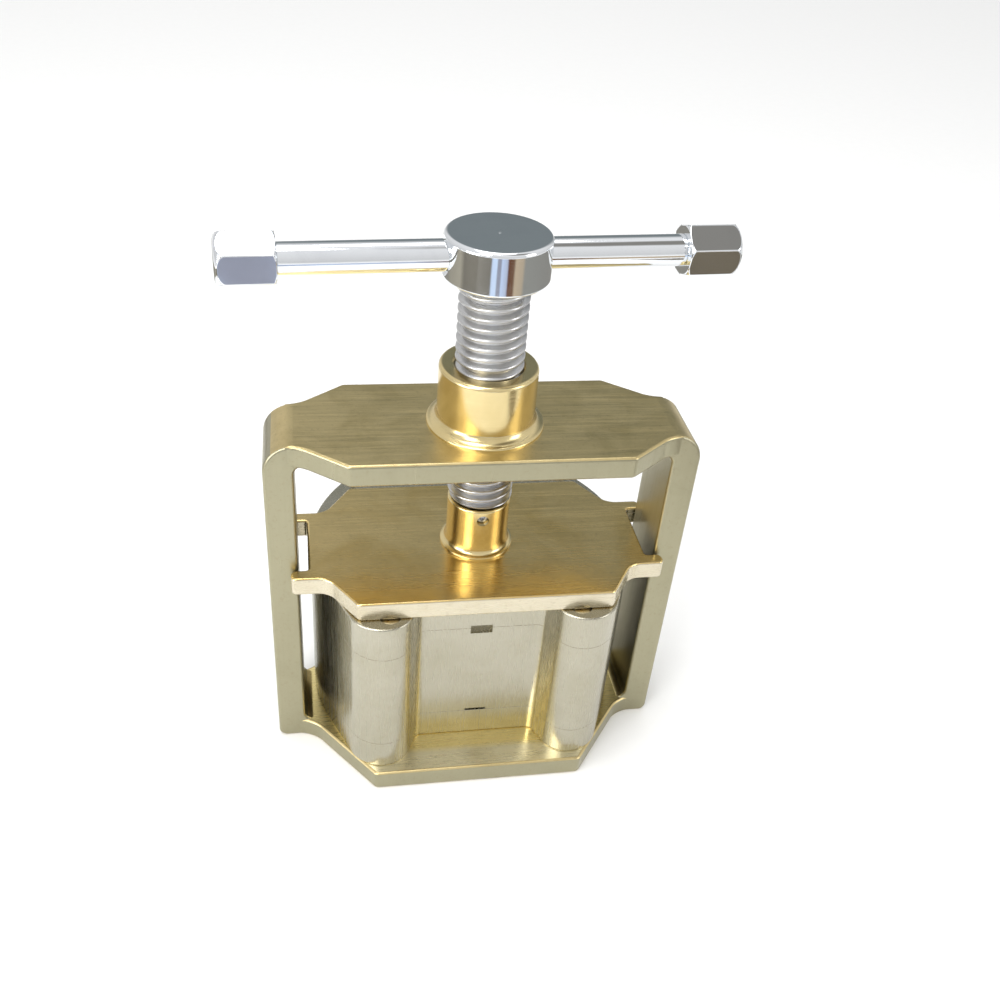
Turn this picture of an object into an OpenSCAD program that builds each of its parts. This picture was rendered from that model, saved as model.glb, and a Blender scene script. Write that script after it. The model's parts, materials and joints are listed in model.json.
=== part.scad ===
// Flask press with a T-handled screw, and a three-part casting flask clamped in it.
// Origin: centre of the base plate's underside. +Z is up and -Y is the front.

/* [Frame] */
// Overall width of the cast frame
frame_w = 130; // [120:1:150]
// Height of the frame, without the collar
frame_h = 118.5; // [115:0.5:135]
// Thickness of a side column, across the press
column_t = 8.8; // [7:0.1:12]
// Width of a side column, front to back
column_w = 23.6; // [18:0.2:26]
// Thickness of the top bridge
bridge_t = 7.2; // [6:0.1:10]
// Thickness of the base plate
base_t = 7; // [6:0.5:10]
// Length of the bridge's front edge
bridge_edge = 82; // [60:1:90]
// Depth of the bridge, front to back
bridge_d = 45; // [40:1:50]
// Length of the base plate's front edge
base_edge = 68; // [50:1:80]
// Depth of the base plate, front to back
base_d = 75; // [60:1:80]
// Radius of the frame's top outer corners
top_corner_r = 9; // [6:0.5:12]
// Radius of the frame's bottom outer corners
foot_corner_r = 2.5; // [1:0.5:4]

/* [Collar] */
// Diameter of the threaded collar at its rim
collar_d = 29; // [26:0.5:34]
// Height of the collar above the bridge
collar_h = 19; // [16:0.5:26]
// Diameter of the collar's flared foot
collar_foot_d = 35; // [32:0.5:42]

/* [Screw] */
// Outer diameter of the screw thread
screw_d = 20; // [16:0.5:22]
// Pitch of the thread
pitch = 3; // [2:0.5:4]
// Depth of the thread
thread_depth = 1.6; // [1:0.1:2]
// Diameter of the round head
head_d = 29.5; // [26:0.5:34]
// Height of the round head
head_h = 12.4; // [11:0.1:16]
// Gap between the collar and the head, with the flask clamped
head_gap = 27; // [20:0.5:32]

/* [Handle] */
// Diameter of the sliding bar
bar_d = 8.8; // [7:0.1:10]
// Length of the handle over its end caps
handle_l = 142; // [130:1:160]
// Width across the flats of an end cap
cap_flats = 13.5; // [11:0.5:16]
// Length of an end cap
cap_l = 15.5; // [12:0.5:20]
// How far the bar stands off centre, to the right
handle_shift = -2.8; // [-30:0.1:30]
// How far the handle is turned, anticlockwise from above
handle_turn = 3.5; // [-5:0.5:5]

/* [Pressure plate] */
// Thickness of the plate
plate_t = 6.4; // [5:0.2:8]
// Length of the plate's front edge
plate_edge = 78; // [60:0.5:84]
// Depth of the plate, front to back
plate_d = 59; // [50:0.5:64]
// Width of the plate over the prongs of its forks
plate_w = 117; // [115:0.5:120]
// Width over a fork's two prongs, front to back
fork_w = 33.2; // [31:0.2:36]
// Diameter of the socket boss
boss_d = 19.5; // [18:0.5:24]
// Height of the socket boss above the plate
boss_h = 17.5; // [16:0.5:22]
// Diameter of the boss's flared foot
boss_foot_d = 23; // [21:0.5:28]

/* [Flask] */
// Width of the flask
flask_w = 105; // [96:1:108]
// Height of the closed flask
flask_h = 60.5; // [56:0.5:66]
// How far the flask's lobes stand in front of the screw's axis
flask_front = 34; // [30:0.5:37]
// How far the recess between the lobes stands in front of the screw's axis
recess_front = 22; // [20:0.5:26]
// How far behind the screw's axis the round of the flask is centred
flask_back_y = 9; // [6:0.5:14]
// Thickness of the lower cover
lower_t = 10.5; // [8:0.5:12]
// Thickness of the upper cover
upper_t = 12.5; // [10:0.5:14]
// Thickness of the ring's wall
ring_wall = 7.5; // [6:0.5:9]

/* [Hidden] */

// Finishes
brass = "#c9b878";
polished_brass = "#d6b95a";
flask_brass = "#c4b796";
steel = "#9a9c9e";
chrome = "#c6ccd2";

// Clearances: a pressed fit, a running fit, and the loose fit of flask parts
pressed = 0.01;
running = 0.05;
loose = 0.1;

// How far a joined or cutting shape runs into or past its neighbour
overlap = 1;

// Heights, from the base's underside up
bridge_z = frame_h - bridge_t;
flask_top = base_t + flask_h;
plate_top = flask_top + plate_t;
boss_top = plate_top + boss_h;
socket_floor = plate_top + 2.5;
grub_z = boss_top - 3.5;
collar_top = frame_h + collar_h;
head_z = collar_top + head_gap;
head_top = head_z + head_h;
bar_z = head_z + head_h / 2;

// Where the diagonals of each plate run into its side lobes
bridge_root = 54.8;
base_root = 54;
plate_root = 47.5;
root_fillet = 10;
edge_corner_r = 2;

// Frame
column_in = frame_w / 2 - column_t;
window_corner_r = 3;
collar_bore_r = screw_d / 2 + running;
foot_h = 4;
foot_rim = 0.8;
flare_steep = 12;
rim_chamfer = 1.2;

// Forks of the pressure plate
fork_gap = column_w / 2 + 0.35;
fork_floor = 53.2;
fork_root_r = 6;
fork_floor_r = 1;
prong_tip_r = 1.8;

// Socket boss of the pressure plate
boss_foot_h = 4;
boss_chamfer = 0.8;

// Screw
journal_r = 6.5;
groove_r = 5.1;
groove_w = 3;
flank = 0.35;
neck_r = 8;
neck_cap = 1.5;
root_r = screw_d / 2 - thread_depth;
shoulder_z = boss_top + 0.3;
thread_turns = floor((head_z - shoulder_z) / pitch);

// Grub screw in the boss
grub_r = 1.8;
grub_tip_r = 1.2;
grub_tip_y = groove_r + 0.3;
grub_step_y = journal_r + 0.3;
grub_end_y = boss_d / 2 - 1.6;

// Handle
stub_r = 3;
stub_l = 9;
cap_corner_r = cap_flats / 2 / cos(30);
right_cap_turn = 10;

// Flask
flask_r = flask_w / 2;
lobe_in = 25;
lobe_out = 38.5;
recess_half = 19.5;
lobe_in_r = 9;
lobe_out_r = 10.5;
cavity_r = flask_r - ring_wall;
cavity_front = -recess_front + ring_wall;
spigot_h = 2;
pin_x = 29.5;
pin_y = -28;
pin_r = 3.25;
pin_sunk = 0.4;
vent_x = 37.7;
vent_y = 17;
vent_r = 3;
countersink_r = 5.9;
panel_depth = 1;
panel_rim = 4.5;
ear_r = 9.5;
notch_w = 7;
notch_d = 2;
notch_low = 0.9;
notch_top = 2.2;
notch_upper = 1.1;
ring_z = base_t + lower_t;
ring_top = flask_top - upper_t;

// Rounding of one corner of an outline: the arc that touches both of its edges
function unit(v) = v / norm(v);
function arc(c, r, from, to, n) = [
    for (i = [0:n])
        let (a = from + (to - from) * i / n)
        c + r * [cos(a), sin(a)]
];
function corner(before, at, after, r) =
    r == 0 ? [at] :
    let (
        u = unit(before - at),
        v = unit(after - at),
        half = acos(u * v) / 2,
        centre = at + unit(u + v) * r / sin(half),
        start = at + u * r / tan(half) - centre,
        end = at + v * r / tan(half) - centre,
        from = atan2(start[1], start[0]),
        swing = atan2(end[1], end[0]) - from,
        to = from + (swing > 180 ? swing - 360 : swing < -180 ? swing + 360 : swing)
    ) arc(centre, r, from, to, 8);

// Outline through corners given as [x, y, radius]
function rounded(c) =
    let (n = len(c), p = [for (q = c) [q[0], q[1]]])
    [for (i = [0:n - 1]) each corner(p[(i + n - 1) % n], p[i], p[(i + 1) % n], c[i][2])];

// Copies half an outline, listed from front to back on the right, to the left
function both_sides(right) =
    concat(right, [for (i = [len(right) - 1:-1:0]) [-right[i][0], right[i][1], right[i][2]]]);

// Right half of an eight-sided plate with a lobe at its side, ending at x = tip
function plate_side(edge, depth, root, lobe, tip) = [
    [edge / 2, -depth / 2, edge_corner_r],
    [root, -lobe, root_fillet],
    [tip, -lobe, 0],
    [tip, lobe, 0],
    [root, lobe, root_fillet],
    [edge / 2, depth / 2, edge_corner_r]
];

// Right half of the pressure plate, whose lobe is a fork around the column
function fork_side(lobe, tip) = [
    [plate_edge / 2, -plate_d / 2, edge_corner_r],
    [plate_root, -lobe, fork_root_r],
    [tip, -lobe, prong_tip_r],
    [tip, -fork_gap, prong_tip_r],
    [fork_floor, -fork_gap, fork_floor_r],
    [fork_floor, fork_gap, fork_floor_r],
    [tip, fork_gap, prong_tip_r],
    [tip, lobe, prong_tip_r],
    [plate_root, lobe, fork_root_r],
    [plate_edge / 2, plate_d / 2, edge_corner_r]
];

// Outline of the flask: a round back, two front lobes and the recess between them
function flask_tangent() =
    let (v = [lobe_out, -flask_front - flask_back_y])
    atan2(v[1], v[0]) + acos(flask_r / norm(v));
function flask_front_right() =
    let (t = flask_tangent(), touch = [flask_r * cos(t), flask_back_y + flask_r * sin(t)])
    concat(
        corner([0, -recess_front], [recess_half, -recess_front], [lobe_in, -flask_front], 3),
        corner([recess_half, -recess_front], [lobe_in, -flask_front], [lobe_out, -flask_front], lobe_in_r),
        corner([lobe_in, -flask_front], [lobe_out, -flask_front], touch, lobe_out_r)
    );
function flask_outline() =
    let (right = flask_front_right(), t = flask_tangent())
    concat(
        right,
        arc([0, flask_back_y], flask_r, t, 180 - t, 64),
        [for (i = [len(right) - 1:-1:0]) [-right[i][0], right[i][1]]]
    );

// Screw profile: crest and root of every turn, from the shoulder up. A flank takes that share of the pitch
function thread_profile() = [
    for (i = [0:thread_turns - 1])
        for (s = [[root_r, 0], [screw_d / 2, flank], [screw_d / 2, 1 - flank], [root_r, 1]])
            [s[0], shoulder_z + (i + s[1]) * pitch]
];

module frame_silhouette() {
    polygon(rounded([
        [-frame_w / 2, 0, foot_corner_r],
        [frame_w / 2, 0, foot_corner_r],
        [frame_w / 2, frame_h, top_corner_r],
        [-frame_w / 2, frame_h, top_corner_r]
    ]));
}

module frame_window() {
    polygon(rounded([
        [-column_in, base_t, window_corner_r],
        [column_in, base_t, window_corner_r],
        [column_in, bridge_z, window_corner_r],
        [-column_in, bridge_z, window_corner_r]
    ]));
}

module frame_plate(edge, depth, root, thickness) {
    linear_extrude(thickness)
        polygon(rounded(both_sides(plate_side(edge, depth, root, column_w / 2, frame_w / 2))));
}

module collar_blank() {
    rotate_extrude($fn = 96) polygon(concat(
        [[0, bridge_z + overlap], [collar_foot_d / 2, bridge_z + overlap]],
        [[collar_foot_d / 2, frame_h + foot_rim]],
        arc([collar_foot_d / 2, frame_h + foot_h], foot_h - foot_rim, 270, 180 + flare_steep, 6),
        [[collar_d / 2, collar_top - rim_chamfer], [collar_d / 2 - rim_chamfer, collar_top], [0, collar_top]]
    ));
}

module press_frame() {
    color(brass) difference() {
        union() {
            intersection() {
                union() {
                    rotate([90, 0, 0]) linear_extrude(column_w, center = true) difference() {
                        frame_silhouette();
                        frame_window();
                    }
                    frame_plate(base_edge, base_d, base_root, base_t);
                    translate([0, 0, bridge_z]) frame_plate(bridge_edge, bridge_d, bridge_root, bridge_t);
                }
                rotate([90, 0, 0]) linear_extrude(base_d + 2 * overlap, center = true) frame_silhouette();
            }
            collar_blank();
        }
        translate([0, 0, bridge_z - overlap])
            cylinder(h = bridge_t + collar_h + 2 * overlap, r = collar_bore_r, $fn = 96);
    }
}

module pressure_plate() {
    color(brass) difference() {
        union() {
            translate([0, 0, flask_top]) linear_extrude(plate_t)
                polygon(rounded(both_sides(fork_side(fork_w / 2, plate_w / 2))));
            rotate_extrude($fn = 96) polygon([
                [0, flask_top + overlap],
                [boss_foot_d / 2, flask_top + overlap],
                [boss_foot_d / 2, plate_top + boss_foot_h * 0.15],
                [boss_d / 2 + 0.5, plate_top + boss_foot_h * 0.6],
                [boss_d / 2, plate_top + boss_foot_h],
                [boss_d / 2, boss_top - boss_chamfer],
                [boss_d / 2 - boss_chamfer, boss_top],
                [0, boss_top]
            ]);
        }
        translate([0, 0, socket_floor]) cylinder(h = boss_h, r = journal_r + running, $fn = 96);
        translate([0, 0, grub_z]) rotate([90, 0, 0]) cylinder(h = boss_d, r = grub_r + running, $fn = 48);
    }
}

module retaining_screw() {
    color(steel) translate([0, 0, grub_z]) rotate([90, 0, 0]) difference() {
        union() {
            translate([0, 0, grub_tip_y])
                cylinder(h = grub_step_y - grub_tip_y + overlap, r = grub_tip_r, $fn = 48);
            translate([0, 0, grub_step_y]) cylinder(h = grub_end_y - grub_step_y, r = grub_r, $fn = 48);
        }
        translate([0, 0, grub_end_y - 1]) cylinder(h = 2, r = 1, $fn = 6);
    }
}

module spindle() {
    color(steel) difference() {
        rotate_extrude($fn = 96) polygon(concat(
            [[0, socket_floor], [journal_r - 1, socket_floor], [journal_r, socket_floor + 1]],
            [[journal_r, grub_z - groove_w / 2], [groove_r, grub_z - groove_w / 2]],
            [[groove_r, grub_z + groove_w / 2], [journal_r, grub_z + groove_w / 2], [journal_r, shoulder_z]],
            thread_profile(),
            [[root_r, head_z], [neck_r, head_z], [neck_r, head_top - neck_cap], [0, head_top - neck_cap]]
        ));
        bar_hole();
    }
}

module on_handle() {
    translate([0, 0, bar_z]) rotate([0, 0, handle_turn]) children();
}

module bar_hole() {
    on_handle() rotate([0, 90, 0]) cylinder(h = head_d + 2, r = bar_d / 2 + running, center = true, $fn = 96);
}

module spindle_head() {
    color(chrome) difference() {
        rotate_extrude($fn = 96) polygon([
            [0, head_z],
            [head_d / 2 - 1, head_z],
            [head_d / 2, head_z + 1],
            [head_d / 2, head_top - 1.2],
            [head_d / 2 - 1.2, head_top],
            [0, head_top]
        ]);
        translate([0, 0, head_z - overlap])
            cylinder(h = head_h + overlap - neck_cap, r = neck_r + pressed, $fn = 96);
        bar_hole();
    }
}

module tommy_bar() {
    bar_l = handle_l - 2 * cap_l;
    color(chrome) on_handle() translate([handle_shift, 0, 0]) rotate([0, 90, 0]) union() {
        cylinder(h = bar_l, r = bar_d / 2, center = true, $fn = 96);
        cylinder(h = bar_l + 2 * stub_l, r = stub_r, center = true, $fn = 64);
    }
}

// End cap along +X from its inner face, with a domed outer end
module bar_cap() {
    rotate([0, 90, 0]) difference() {
        intersection() {
            cylinder(h = cap_l, r = cap_corner_r, $fn = 6);
            rotate_extrude($fn = 96) polygon(concat(
                [[0, 0], [cap_corner_r - 1.2, 0], [cap_corner_r, 0.8]],
                arc([cap_corner_r - 3, cap_l - 3], 3, 0, 90, 6),
                [[0, cap_l]]
            ));
        }
        translate([0, 0, -1]) cylinder(h = stub_l + 1.5, r = stub_r + running, $fn = 64);
    }
}

module bar_cap_left() {
    color(chrome) on_handle() translate([handle_shift - handle_l / 2 + cap_l, 0, 0])
        mirror([1, 0, 0]) bar_cap();
}

module bar_cap_right() {
    color(chrome) on_handle() translate([handle_shift + handle_l / 2 - cap_l, 0, 0])
        rotate([right_cap_turn, 0, 0]) bar_cap();
}

module cavity(gap) {
    intersection() {
        translate([0, flask_back_y]) circle(cavity_r - gap, $fn = 96);
        translate([-flask_w / 2, cavity_front + gap]) square([flask_w, flask_w]);
    }
}

// Sunk panel of a cover's outer face, which leaves a rim and an ear around each hole
module panel() {
    difference() {
        intersection() {
            translate([0, flask_back_y]) circle(flask_r - panel_rim, $fn = 96);
            translate([-flask_w / 2, -recess_front + 5]) square([flask_w, flask_w]);
        }
        for (side = [-1, 1]) {
            translate([side * vent_x, vent_y]) circle(ear_r, $fn = 64);
            translate([side * (vent_x + ear_r), vent_y]) square([2 * ear_r, 2 * ear_r], center = true);
        }
    }
}

// A cover with its outer face down at z = 0 and its spigot up
module cover(thick, pin_hole_r) {
    difference() {
        union() {
            linear_extrude(thick) polygon(flask_outline());
            linear_extrude(thick + spigot_h) cavity(loose);
        }
        translate([0, 0, -overlap]) linear_extrude(panel_depth + overlap) panel();
        for (side = [-1, 1]) {
            translate([side * vent_x, vent_y, -overlap])
                cylinder(h = thick + spigot_h + 2 * overlap, r = vent_r, $fn = 48);
            translate([side * vent_x, vent_y, -0.01])
                cylinder(h = countersink_r - vent_r, r1 = countersink_r, r2 = vent_r, $fn = 48);
            translate([side * pin_x, pin_y, -overlap])
                cylinder(h = thick + 2 * overlap, r = pin_hole_r, $fn = 48);
        }
    }
}

// Pry notch in the face of the recess, from low to high
module notch(low, high) {
    translate([-notch_w / 2, -recess_front - overlap, low])
        cube([notch_w, notch_d + overlap, high - low]);
}

module flask_lower() {
    color(flask_brass) translate([0, 0, base_t]) cover(lower_t, pin_r + pressed);
}

module flask_upper() {
    color(flask_brass) difference() {
        translate([0, 0, flask_top]) mirror([0, 0, 1]) cover(upper_t, pin_r + loose);
        notch(ring_top - overlap, ring_top + notch_upper);
    }
}

module flask_ring() {
    color(flask_brass) difference() {
        translate([0, 0, ring_z]) linear_extrude(ring_top - ring_z) difference() {
            polygon(flask_outline());
            cavity(0);
        }
        for (side = [-1, 1])
            translate([side * pin_x, pin_y, ring_z - overlap])
                cylinder(h = ring_top - ring_z + 2 * overlap, r = pin_r + loose, $fn = 48);
        notch(ring_z - overlap, ring_z + notch_low);
        notch(ring_top - notch_top, ring_top + overlap);
    }
}

module flask_pin(side) {
    tip = flask_top - pin_sunk;
    translate([side * pin_x, pin_y, 0]) rotate_extrude($fn = 48) polygon([
        [0, base_t],
        [pin_r, base_t],
        [pin_r, tip - 1],
        [pin_r - 1, tip],
        [0, tip]
    ]);
}

module flask_pin_left() {
    color(steel) flask_pin(-1);
}

module flask_pin_right() {
    color(steel) flask_pin(1);
}

press_frame();
pressure_plate();
retaining_screw();
spindle();
spindle_head();
tommy_bar();
bar_cap_left();
bar_cap_right();
flask_lower();
flask_ring();
flask_upper();
flask_pin_left();
flask_pin_right();
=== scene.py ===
import json
import math
from contextlib import contextmanager

import bmesh
import bpy
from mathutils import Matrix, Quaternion, Vector


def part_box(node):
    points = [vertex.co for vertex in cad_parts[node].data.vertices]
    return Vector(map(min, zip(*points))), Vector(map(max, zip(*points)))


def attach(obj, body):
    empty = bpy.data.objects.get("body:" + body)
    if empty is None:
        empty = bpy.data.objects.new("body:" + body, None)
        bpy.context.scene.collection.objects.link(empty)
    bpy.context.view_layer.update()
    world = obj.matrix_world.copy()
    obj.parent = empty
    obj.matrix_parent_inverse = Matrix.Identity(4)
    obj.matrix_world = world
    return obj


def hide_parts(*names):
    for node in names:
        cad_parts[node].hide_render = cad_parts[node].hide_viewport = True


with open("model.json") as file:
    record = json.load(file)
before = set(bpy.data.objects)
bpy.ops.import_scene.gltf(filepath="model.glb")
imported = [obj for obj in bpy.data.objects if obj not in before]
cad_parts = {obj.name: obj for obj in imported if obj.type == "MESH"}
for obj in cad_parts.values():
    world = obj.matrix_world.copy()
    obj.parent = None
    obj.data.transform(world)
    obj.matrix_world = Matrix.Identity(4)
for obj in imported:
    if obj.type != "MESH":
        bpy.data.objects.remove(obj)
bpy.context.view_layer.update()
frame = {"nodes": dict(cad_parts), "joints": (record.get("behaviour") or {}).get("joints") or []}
scene = bpy.context.scene
mm = 0.001
tiny = 0.02 * mm  # how close a point has to be to count as on a face
upright, across, backward = Vector((0, 0, 1)), Vector((1, 0, 0)), Vector((0, 1, 0))

cameraSet = {
    "azimuth": -12.03,  # degrees round the press, from its front towards its left
    "elevation": 36.10,
    "roll": 5.10,
    "distance": 331.0,  # from the point it looks at
    "aim": (4.87, 0.0, 89.55),
    "lens": 38.05,
    "shift": (0.0059, -0.0023),
}


def placeCamera():
    turn = math.radians(cameraSet["azimuth"])
    rise = math.radians(cameraSet["elevation"])
    back = Vector((math.sin(turn) * math.cos(rise), -math.cos(turn) * math.cos(rise), math.sin(rise)))
    bpy.ops.object.camera_add(location=Vector(cameraSet["aim"]) * mm + back * cameraSet["distance"] * mm)
    camera = bpy.context.object
    camera.rotation_mode = "QUATERNION"
    roll = Quaternion(upright, math.radians(cameraSet["roll"]))
    camera.rotation_quaternion = (-back).to_track_quat("-Z", "Y") @ roll
    camera.data.lens = cameraSet["lens"]
    camera.data.shift_x, camera.data.shift_y = cameraSet["shift"]
    camera.data.clip_start = 0.01
    camera.data.clip_end = 20
    scene.camera = camera


placeCamera()
print("camera placed")


# Small helpers, named for what the hand does

def onlyThis(piece):
    bpy.ops.object.select_all(action="DESELECT")
    piece.select_set(True)
    bpy.context.view_layer.objects.active = piece


@contextmanager
def editing(piece):
    onlyThis(piece)
    bpy.ops.object.mode_set(mode="EDIT")
    bpy.ops.mesh.select_mode(type="FACE")
    yield
    bpy.ops.object.mode_set(mode="OBJECT")


def pick(kind, test):
    bpy.ops.mesh.select_mode(type=kind)
    bpy.ops.mesh.select_all(action="DESELECT")
    mesh = bpy.context.edit_object.data
    shape = bmesh.from_edit_mesh(mesh)
    for part in {"VERT": shape.verts, "EDGE": shape.edges, "FACE": shape.faces}[kind]:
        if test(part):
            part.select_set(True)
    bmesh.update_edit_mesh(mesh)


def near(a, b, gap=tiny):
    return abs(a - b) < gap


def middle(edge):
    return (edge.verts[0].co + edge.verts[1].co) / 2


def runs(edge, way):
    return abs((edge.verts[1].co - edge.verts[0].co).normalized().dot(way)) > 0.999


def looks(face, way):
    return face.normal.dot(way) > 0.999


def roundEdges(radius, test, segments=8):
    pick("EDGE", test)
    shape = bmesh.from_edit_mesh(bpy.context.edit_object.data)
    turn = next(edge.calc_face_angle() for edge in shape.edges if edge.select)
    offset = radius * math.tan(turn / 2)
    bpy.ops.mesh.bevel(offset=offset, segments=segments, profile=0.5, affect="EDGES", clamp_overlap=True)


def startBlock(name, low, high):
    low, high = Vector(low), Vector(high)
    bpy.ops.object.select_all(action="DESELECT")
    bpy.ops.mesh.primitive_cube_add(size=1, location=(low + high) / 2, scale=high - low)
    bpy.ops.object.transform_apply(location=True, rotation=True, scale=True)
    piece = bpy.context.object
    piece.name = name
    return piece


def startRound(name, radius, start, end, sides=64):
    start, end = Vector(start), Vector(end)
    bpy.ops.object.select_all(action="DESELECT")
    bpy.ops.mesh.primitive_cylinder_add(
        vertices=sides, radius=radius, depth=(end - start).length, location=(start + end) / 2,
        rotation=(end - start).to_track_quat("Z", "Y").to_euler())
    bpy.ops.object.transform_apply(location=True, rotation=True, scale=True)
    piece = bpy.context.object
    piece.name = name
    return piece


def sized(settings):
    return {key: value * mm if isinstance(value, float) else value for key, value in settings.items()}


def startChain(name, points):
    # one vertex, drawn on from point to point
    bpy.ops.object.select_all(action="DESELECT")
    bpy.ops.mesh.primitive_plane_add(size=1 * mm, location=(0, 0, 0))
    piece = bpy.context.object
    piece.name = name
    with editing(piece):
        bpy.ops.mesh.select_mode(type="VERT")
        bpy.ops.mesh.select_all(action="SELECT")
        bpy.ops.mesh.merge(type="CENTER")
        bpy.ops.transform.translate(value=points[0])
        drawOn(points)
    return piece


def drawOn(points):
    for before, after in zip(points, points[1:]):
        bpy.ops.mesh.extrude_region_move(TRANSFORM_OT_translate={"value": Vector(after) - Vector(before)})


def turnOnLathe(name, profile, sides=96):
    # profile: (radius, height) from the bottom up, the first and last closed by a flat end
    bpy.ops.object.select_all(action="DESELECT")
    radius, height = profile[0]
    bpy.ops.mesh.primitive_circle_add(vertices=sides, radius=radius, fill_type="NGON",
                                      location=(0, 0, height))
    bpy.ops.object.transform_apply(location=True, rotation=True, scale=True)
    piece = bpy.context.object
    piece.name = name
    with editing(piece):
        bpy.ops.mesh.select_all(action="SELECT")
        for newRadius, newHeight in profile[1:]:
            bpy.ops.mesh.extrude_region_move(
                TRANSFORM_OT_translate={"value": (0, 0, newHeight - height)})
            ratio = newRadius / radius
            bpy.ops.transform.resize(value=(ratio, ratio, 1), center_override=(0, 0, newHeight))
            radius, height = newRadius, newHeight
        bpy.ops.mesh.select_all(action="SELECT")
        bpy.ops.mesh.normals_make_consistent(inside=False)
    return piece


def quarter(centreR, centreZ, radius, fromAngle, toAngle, steps=6):
    # points of an arc in a lathe profile, its angles in degrees from straight outwards
    turns = [math.radians(fromAngle + (toAngle - fromAngle) * i / steps) for i in range(steps + 1)]
    return [(centreR + radius * math.cos(turn), centreZ + radius * math.sin(turn)) for turn in turns]


def combine(piece, tool, how):
    onlyThis(piece)
    step = piece.modifiers.new(how.lower(), "BOOLEAN")
    step.operation = how
    step.solver = "EXACT"
    step.object = tool
    bpy.ops.object.modifier_apply(modifier=step.name)
    bpy.data.objects.remove(tool)


def cut(piece, tool):
    combine(piece, tool, "DIFFERENCE")


def join(piece, tool):
    combine(piece, tool, "UNION")


def keepInside(piece, tool):
    combine(piece, tool, "INTERSECT")


def twin(piece, name):
    copy = piece.copy()
    copy.data = piece.data.copy()
    copy.name = name
    scene.collection.objects.link(copy)
    return copy


def cleanFlats(piece, angle=0.3):
    with editing(piece):
        bpy.ops.mesh.select_all(action="SELECT")
        bpy.ops.mesh.remove_doubles(threshold=tiny)
        bpy.ops.mesh.dissolve_limited(angle_limit=math.radians(angle))


def layFinish(piece, number, test):
    # gives the faces that pass the test the piece's finish of that number
    with editing(piece):
        pick("FACE", test)
        piece.active_material_index = number
        bpy.ops.object.material_slot_assign()


def softenEdges(piece, width, segments=3, angle=32):
    onlyThis(piece)
    step = piece.modifiers.new("soften", "BEVEL")
    step.width = width
    step.segments = segments
    step.limit_method = "ANGLE"
    step.angle_limit = math.radians(angle)
    step.miter_outer = "MITER_ARC"
    step.use_clamp_overlap = False
    bpy.ops.object.modifier_apply(modifier=step.name)


def finishPiece(piece, body, slot, node, *finishes, smoothAngle=36):
    onlyThis(piece)
    if not piece.data.materials:
        for finish in finishes:
            piece.data.materials.append(finish)
    bpy.ops.object.shade_smooth_by_angle(angle=math.radians(smoothAngle))
    step = piece.modifiers.new("flats", "WEIGHTED_NORMAL")
    step.keep_sharp = True
    bpy.ops.object.modifier_apply(modifier=step.name)
    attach(piece, body)
    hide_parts(node)


# Finishes

def newFinish(name):
    finish = bpy.data.materials.new(name)
    finish.use_nodes = True
    finish.node_tree.nodes.clear()
    return finish


def addNode(finish, kind, **values):
    node = finish.node_tree.nodes.new(kind)
    for key, value in values.items():
        if key in node.inputs:
            node.inputs[key].default_value = value
        else:
            setattr(node, key, value)
    return node


def wire(finish, source, output, target, entry):
    finish.node_tree.links.new(source.outputs[output], target.inputs[entry])


def placeCoords(finish, stretch):
    coords = addNode(finish, "ShaderNodeTexCoord")
    mapping = addNode(finish, "ShaderNodeMapping")
    mapping.inputs["Scale"].default_value = stretch
    wire(finish, coords, "Object", mapping, "Vector")
    return mapping


def addNoise(finish, stretch, detail=4.0, rough=0.55, warp=0.0):
    # stretch: how many grains a metre holds along each axis
    mapping = placeCoords(finish, stretch)
    noise = addNode(finish, "ShaderNodeTexNoise")
    noise.inputs["Scale"].default_value = 1.0
    noise.inputs["Detail"].default_value = detail
    noise.inputs["Roughness"].default_value = rough
    noise.inputs["Distortion"].default_value = warp
    wire(finish, mapping, "Vector", noise, "Vector")
    return noise


def addSpan(finish, source, output, low, high, toLow, toHigh):
    span = addNode(finish, "ShaderNodeMapRange")
    span.inputs["From Min"].default_value = low
    span.inputs["From Max"].default_value = high
    span.inputs["To Min"].default_value = toLow
    span.inputs["To Max"].default_value = toHigh
    wire(finish, source, output, span, "Value")
    return span


def addBlend(finish, factor, output, first, second):
    blend = addNode(finish, "ShaderNodeMix", data_type="RGBA")
    wire(finish, factor, output, blend, 0)
    for entry, colour in ((6, first), (7, second)):
        if isinstance(colour, tuple):
            blend.inputs[entry].default_value = (*colour, 1)
        else:
            wire(finish, colour, 2, blend, entry)
    return blend


def addBump(finish, source, output, depth, before=None):
    bump = addNode(finish, "ShaderNodeBump")
    bump.inputs["Strength"].default_value = 1.0
    bump.inputs["Distance"].default_value = depth
    wire(finish, source, output, bump, "Height")
    if before is not None:
        wire(finish, before, "Normal", bump, "Normal")
    return bump


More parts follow.
